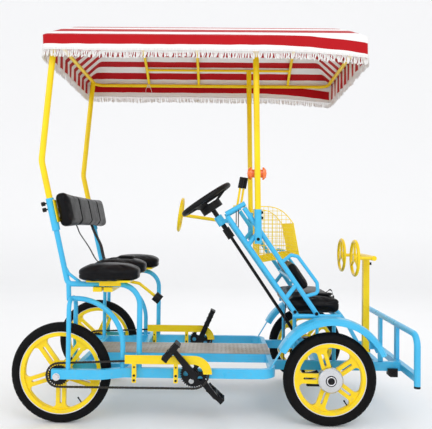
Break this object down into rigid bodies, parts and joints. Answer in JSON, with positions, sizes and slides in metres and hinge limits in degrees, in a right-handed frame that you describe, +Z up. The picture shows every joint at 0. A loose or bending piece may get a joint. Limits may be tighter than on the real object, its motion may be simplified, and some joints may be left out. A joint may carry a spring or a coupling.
{
  "type": "quadricycle",
  "caption": "Side-by-side pedal quadricycle with a striped fringed canopy, saddles, chain drives, steering wheel, child bench with toy wheels, wire basket and front guard.",
  "frame": {"origin": "on the ground below the middle of the whole width and length", "axes": "+X forward, +Y to the riders' left, +Z up"},
  "size_m": [2.078, 1.182, 2.15],
  "materials": {
    "blue_paint": "gloss",
    "yellow_paint": "gloss",
    "tyre": "matte",
    "black_vinyl": "gloss",
    "canopy_cloth": "satin",
    "deck_metal": "satin",
    "bright_steel": "polished",
    "black_steel": "satin",
    "black_plastic": "matte",
    "amber_plastic": "gloss"
  },
  "bodies": {
    "frame": {"backrest_pad": "black_vinyl", "basket": "yellow_paint", "bench_frame": "blue_paint", "brake_cables": "black_steel", "brake_levers": "yellow_paint", "canopy_cloth": "canopy_cloth", "canopy_frame": "yellow_paint", "canopy_posts": "yellow_paint", "chain_guards": "yellow_paint", "chains": "black_steel", "child_backrest": "black_vinyl", "child_bench": "black_vinyl", "dash_bars": "blue_paint", "deck_plate": "deck_metal", "dummy_wheel": "yellow_paint", "fender_left": "blue_paint", "fender_right": "blue_paint", "floor_frame": "blue_paint", "front_frame": "blue_paint", "front_guard": "blue_paint", "hand_grips": "black_plastic", "ladder_left": "blue_paint", "ladder_right": "blue_paint", "rear_axles": "bright_steel", "saddle_left": "black_vinyl", "saddle_middle": "black_vinyl", "saddle_right": "black_vinyl", "seat_cross_tubes": "yellow_paint", "seat_frame_left": "blue_paint", "seat_frame_right": "blue_paint", "seat_plates": "yellow_paint", "side_rail_left": "blue_paint", "side_rail_right": "blue_paint", "signal_lamp": "amber_plastic", "socket_knobs": "black_plastic", "toy_wheels": "yellow_paint"},
    "rear_wheel_right": {"rear_tyre_right": "tyre", "rear_rim_right": "yellow_paint", "rear_sprocket_right": "black_steel"},
    "front_wheel_right": {"front_tyre_right": "tyre", "front_rim_right": "yellow_paint", "front_hub_cover_right": "bright_steel"},
    "knuckle_right": {"knuckle_right": "black_steel"},
    "crank_right": {"crank_right": "black_steel"},
    "pedal_right_chain_side": {"pedal_right_chain_side": "black_plastic"},
    "pedal_right_free_side": {"pedal_right_free_side": "black_plastic"},
    "rear_wheel_left": {"rear_tyre_left": "tyre", "rear_rim_left": "yellow_paint", "rear_sprocket_left": "black_steel"},
    "front_wheel_left": {"front_tyre_left": "tyre", "front_rim_left": "yellow_paint", "front_hub_cover_left": "bright_steel"},
    "knuckle_left": {"knuckle_left": "black_steel"},
    "crank_left": {"crank_left": "black_steel"},
    "pedal_left_chain_side": {"pedal_left_chain_side": "black_plastic"},
    "pedal_left_free_side": {"pedal_left_free_side": "black_plastic"},
    "steering": {"steering_wheel": "black_plastic", "steering_column": "black_steel"},
    "tie_rod": {"tie_rod": "black_steel"}
  },
  "joints": [
    {"name": "rear_wheel_right_spin", "type": "hinge", "parent": "frame", "child": "rear_wheel_right", "pos_m": [-0.782, -0.403, 0.257], "axis": [0, 1, 0], "continuous": true},
    {"name": "rear_wheel_left_spin", "type": "hinge", "parent": "frame", "child": "rear_wheel_left", "pos_m": [-0.782, 0.497, 0.257], "axis": [0, 1, 0], "continuous": true},
    {"name": "steering_turn", "type": "hinge", "parent": "frame", "child": "steering", "pos_m": [-0.053, -0.148, 1.165], "axis": [-0.5615, 0, 0.8275], "range_deg": [-50, 50]},
    {"name": "knuckle_right_turn", "type": "hinge", "parent": "frame", "child": "knuckle_right", "pos_m": [0.596, -0.328, 0.239], "axis": [0, 0, 1], "range_deg": [-25, 25]},
    {"name": "front_wheel_right_spin", "type": "hinge", "parent": "knuckle_right", "child": "front_wheel_right", "pos_m": [0.596, -0.403, 0.239], "axis": [0, 1, 0], "continuous": true},
    {"name": "knuckle_left_turn", "type": "hinge", "parent": "frame", "child": "knuckle_left", "pos_m": [0.596, 0.422, 0.239], "axis": [0, 0, 1], "range_deg": [-25, 25]},
    {"name": "front_wheel_left_spin", "type": "hinge", "parent": "knuckle_left", "child": "front_wheel_left", "pos_m": [0.596, 0.497, 0.239], "axis": [0, 1, 0], "continuous": true},
    {"name": "tie_rod_swing", "type": "hinge", "parent": "knuckle_right", "child": "tie_rod", "pos_m": [0.501, -0.328, 0.203], "axis": [0, 0, 1], "range_deg": [-25, 25]},
    {"name": "crank_right_spin", "type": "hinge", "parent": "frame", "child": "crank_right", "pos_m": [-0.098, -0.438, 0.272], "axis": [0, 1, 0], "continuous": true},
    {"name": "pedal_right_chain_side_spin", "type": "hinge", "parent": "crank_right", "child": "pedal_right_chain_side", "pos_m": [-0.20599, -0.547, 0.4007], "axis": [0, 1, 0], "continuous": true},
    {"name": "pedal_right_free_side_spin", "type": "hinge", "parent": "crank_right", "child": "pedal_right_free_side", "pos_m": [0.00999, -0.353, 0.1433], "axis": [0, 1, 0], "continuous": true},
    {"name": "crank_left_spin", "type": "hinge", "parent": "frame", "child": "crank_left", "pos_m": [-0.098, 0.462, 0.272], "axis": [0, 1, 0], "continuous": true},
    {"name": "pedal_left_chain_side_spin", "type": "hinge", "parent": "crank_left", "child": "pedal_left_chain_side", "pos_m": [-0.03507, 0.353, 0.42777], "axis": [0, 1, 0], "continuous": true},
    {"name": "pedal_left_free_side_spin", "type": "hinge", "parent": "crank_left", "child": "pedal_left_free_side", "pos_m": [-0.16093, 0.547, 0.11623], "axis": [0, 1, 0], "continuous": true}
  ],
  "couplings": [
    {"joint": "knuckle_right_turn", "follows": "steering_turn", "ratio": 0.5},
    {"joint": "knuckle_left_turn", "follows": "steering_turn", "ratio": 0.5},
    {"joint": "tie_rod_swing", "follows": "steering_turn", "ratio": -0.5}
  ]
}
